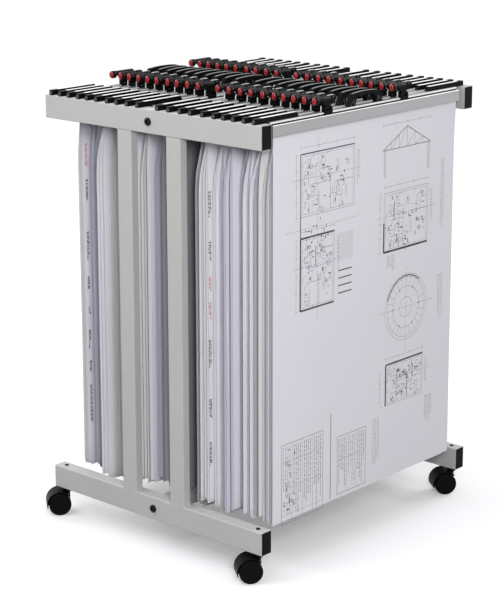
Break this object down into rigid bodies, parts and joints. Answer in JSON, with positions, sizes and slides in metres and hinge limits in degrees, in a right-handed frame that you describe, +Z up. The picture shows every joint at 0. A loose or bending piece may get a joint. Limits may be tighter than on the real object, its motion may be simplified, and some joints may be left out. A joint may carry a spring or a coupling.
{
  "type": "plan hanging rack",
  "caption": "Mobile trolley that stores large drawings on hanging clamps: two welded end frames on swivel casters, clamps across the rails with levers, handles and hanging sheets.",
  "frame": {"origin": "on the floor, midway between the end frames and between the rail ends", "axes": "+Z up, +X along the end rails, +Y from the front end frame to the rear one"},
  "size_m": [0.6398, 0.7448, 0.9798],
  "materials": {
    "powder_coat": "fine satin powder coat",
    "steel": "bright zinc",
    "black_steel": "black, satin",
    "black_plastic": "fine grained",
    "wheel_plastic": "satin",
    "lever_plastic": "satin moulded",
    "red_plastic": "satin",
    "aluminium": "satin anodised",
    "paper": "matt plan paper"
  },
  "bodies": {
    "frame": {"front_end_frame": "powder_coat", "rear_end_frame": "powder_coat", "top_beam": "powder_coat", "bottom_beam": "powder_coat", "beam_end_inserts": "steel", "beam_bolts": "black_steel", "tube_end_caps": "black_plastic", "caster_stems": "black_steel"},
    "caster_front_left": {"caster_housing_front_left": "black_plastic"},
    "wheels_front_left": {"caster_wheels_front_left": "wheel_plastic"},
    "caster_front_right": {"caster_housing_front_right": "black_plastic"},
    "wheels_front_right": {"caster_wheels_front_right": "wheel_plastic"},
    "caster_rear_left": {"caster_housing_rear_left": "black_plastic"},
    "wheels_rear_left": {"caster_wheels_rear_left": "wheel_plastic"},
    "caster_rear_right": {"caster_housing_rear_right": "black_plastic"},
    "wheels_rear_right": {"caster_wheels_rear_right": "wheel_plastic"},
    "clamp_20": {"clamp_20": "aluminium", "sheets_20": "paper"},
    "clamp_01": {"clamp_01": "aluminium", "sheets_01": "paper"},
    "clamp_02": {"clamp_02": "aluminium", "sheets_02": "paper"},
    "clamp_03": {"clamp_03": "aluminium", "sheets_03": "paper"},
    "clamp_04": {"clamp_04": "aluminium", "sheets_04": "paper"},
    "clamp_05": {"clamp_05": "aluminium", "sheets_05": "paper"},
    "clamp_06": {"clamp_06": "aluminium", "sheets_06": "paper"},
    "clamp_07": {"clamp_07": "aluminium", "sheets_07": "paper"},
    "clamp_08": {"clamp_08": "aluminium", "sheets_08": "paper"},
    "clamp_09": {"clamp_09": "aluminium", "sheets_09": "paper"},
    "clamp_10": {"clamp_10": "aluminium", "sheets_10": "paper"},
    "clamp_11": {"clamp_11": "aluminium", "sheets_11": "paper"},
    "clamp_12": {"clamp_12": "aluminium", "sheets_12": "paper"},
    "clamp_13": {"clamp_13": "aluminium", "sheets_13": "paper"},
    "clamp_14": {"clamp_14": "aluminium", "sheets_14": "paper"},
    "clamp_15": {"clamp_15": "aluminium", "sheets_15": "paper"},
    "clamp_16": {"clamp_16": "aluminium", "sheets_16": "paper"},
    "clamp_17": {"clamp_17": "aluminium", "sheets_17": "paper"},
    "clamp_18": {"clamp_18": "aluminium", "sheets_18": "paper"},
    "clamp_19": {"clamp_19": "aluminium", "sheets_19": "paper"},
    "clamp_20_outer_jaw": {"clamp_20_outer_jaw": "aluminium"},
    "clamp_20_lever_front": {"clamp_20_lever_front": "lever_plastic"},
    "clamp_20_lever_rear": {"clamp_20_lever_rear": "lever_plastic"}
  },
  "joints": [
    {"name": "lever_front_throw", "type": "hinge", "parent": "clamp_20", "child": "clamp_20_lever_front", "pos_m": [0.295, -0.1395, 0.954], "axis": [0, 1, 0], "range_deg": [0, 90]},
    {"name": "lever_rear_throw", "type": "hinge", "parent": "clamp_20", "child": "clamp_20_lever_rear", "pos_m": [0.295, 0.1135, 0.954], "axis": [0, 1, 0], "range_deg": [0, 90]},
    {"name": "outer_jaw_open", "type": "slide", "parent": "clamp_20", "child": "clamp_20_outer_jaw", "axis": [1, 0, 0], "range_m": [0, 0.003]},
    {"name": "swivel_front_left", "type": "hinge", "parent": "frame", "child": "caster_front_left", "pos_m": [-0.285, -0.337, 0.045], "axis": [0, 0, 1], "continuous": true},
    {"name": "wheel_spin_front_left", "type": "hinge", "parent": "caster_front_left", "child": "wheels_front_left", "pos_m": [-0.29633, -0.35099, 0.025], "axis": [-0.7771, 0.6293, 0], "continuous": true},
    {"name": "swivel_front_right", "type": "hinge", "parent": "frame", "child": "caster_front_right", "pos_m": [0.285, -0.337, 0.045], "axis": [0, 0, 1], "continuous": true},
    {"name": "wheel_spin_front_right", "type": "hinge", "parent": "caster_front_right", "child": "wheels_front_right", "pos_m": [0.27367, -0.35099, 0.025], "axis": [-0.7771, 0.6293, 0], "continuous": true},
    {"name": "swivel_rear_left", "type": "hinge", "parent": "frame", "child": "caster_rear_left", "pos_m": [-0.285, 0.337, 0.045], "axis": [0, 0, 1], "continuous": true},
    {"name": "wheel_spin_rear_left", "type": "hinge", "parent": "caster_rear_left", "child": "wheels_rear_left", "pos_m": [-0.29633, 0.32301, 0.025], "axis": [-0.7771, 0.6293, 0], "continuous": true},
    {"name": "swivel_rear_right", "type": "hinge", "parent": "frame", "child": "caster_rear_right", "pos_m": [0.285, 0.337, 0.045], "axis": [0, 0, 1], "continuous": true},
    {"name": "wheel_spin_rear_right", "type": "hinge", "parent": "caster_rear_right", "child": "wheels_rear_right", "pos_m": [0.27367, 0.32301, 0.025], "axis": [-0.7771, 0.6293, 0], "continuous": true},
    {"name": "lift_clamp_20", "type": "slide", "parent": "frame", "child": "clamp_20", "axis": [0, 0, 1], "range_m": [0, 0.88]},
    {"name": "lift_clamp_01", "type": "slide", "parent": "frame", "child": "clamp_01", "axis": [0, 0, 1], "range_m": [0, 0.88]},
    {"name": "lift_clamp_02", "type": "slide", "parent": "frame", "child": "clamp_02", "axis": [0, 0, 1], "range_m": [0, 0.88]},
    {"name": "lift_clamp_03", "type": "slide", "parent": "frame", "child": "clamp_03", "axis": [0, 0, 1], "range_m": [0, 0.88]},
    {"name": "lift_clamp_04", "type": "slide", "parent": "frame", "child": "clamp_04", "axis": [0, 0, 1], "range_m": [0, 0.88]},
    {"name": "lift_clamp_05", "type": "slide", "parent": "frame", "child": "clamp_05", "axis": [0, 0, 1], "range_m": [0, 0.88]},
    {"name": "lift_clamp_06", "type": "slide", "parent": "frame", "child": "clamp_06", "axis": [0, 0, 1], "range_m": [0, 0.88]},
    {"name": "lift_clamp_07", "type": "slide", "parent": "frame", "child": "clamp_07", "axis": [0, 0, 1], "range_m": [0, 0.88]},
    {"name": "lift_clamp_08", "type": "slide", "parent": "frame", "child": "clamp_08", "axis": [0, 0, 1], "range_m": [0, 0.88]},
    {"name": "lift_clamp_09", "type": "slide", "parent": "frame", "child": "clamp_09", "axis": [0, 0, 1], "range_m": [0, 0.88]},
    {"name": "lift_clamp_10", "type": "slide", "parent": "frame", "child": "clamp_10", "axis": [0, 0, 1], "range_m": [0, 0.88]},
    {"name": "lift_clamp_11", "type": "slide", "parent": "frame", "child": "clamp_11", "axis": [0, 0, 1], "range_m": [0, 0.88]},
    {"name": "lift_clamp_12", "type": "slide", "parent": "frame", "child": "clamp_12", "axis": [0, 0, 1], "range_m": [0, 0.88]},
    {"name": "lift_clamp_13", "type": "slide", "parent": "frame", "child": "clamp_13", "axis": [0, 0, 1], "range_m": [0, 0.88]},
    {"name": "lift_clamp_14", "type": "slide", "parent": "frame", "child": "clamp_14", "axis": [0, 0, 1], "range_m": [0, 0.88]},
    {"name": "lift_clamp_15", "type": "slide", "parent": "frame", "child": "clamp_15", "axis": [0, 0, 1], "range_m": [0, 0.88]},
    {"name": "lift_clamp_16", "type": "slide", "parent": "frame", "child": "clamp_16", "axis": [0, 0, 1], "range_m": [0, 0.88]},
    {"name": "lift_clamp_17", "type": "slide", "parent": "frame", "child": "clamp_17", "axis": [0, 0, 1], "range_m": [0, 0.88]},
    {"name": "lift_clamp_18", "type": "slide", "parent": "frame", "child": "clamp_18", "axis": [0, 0, 1], "range_m": [0, 0.88]},
    {"name": "lift_clamp_19", "type": "slide", "parent": "frame", "child": "clamp_19", "axis": [0, 0, 1], "range_m": [0, 0.88]}
  ]
}
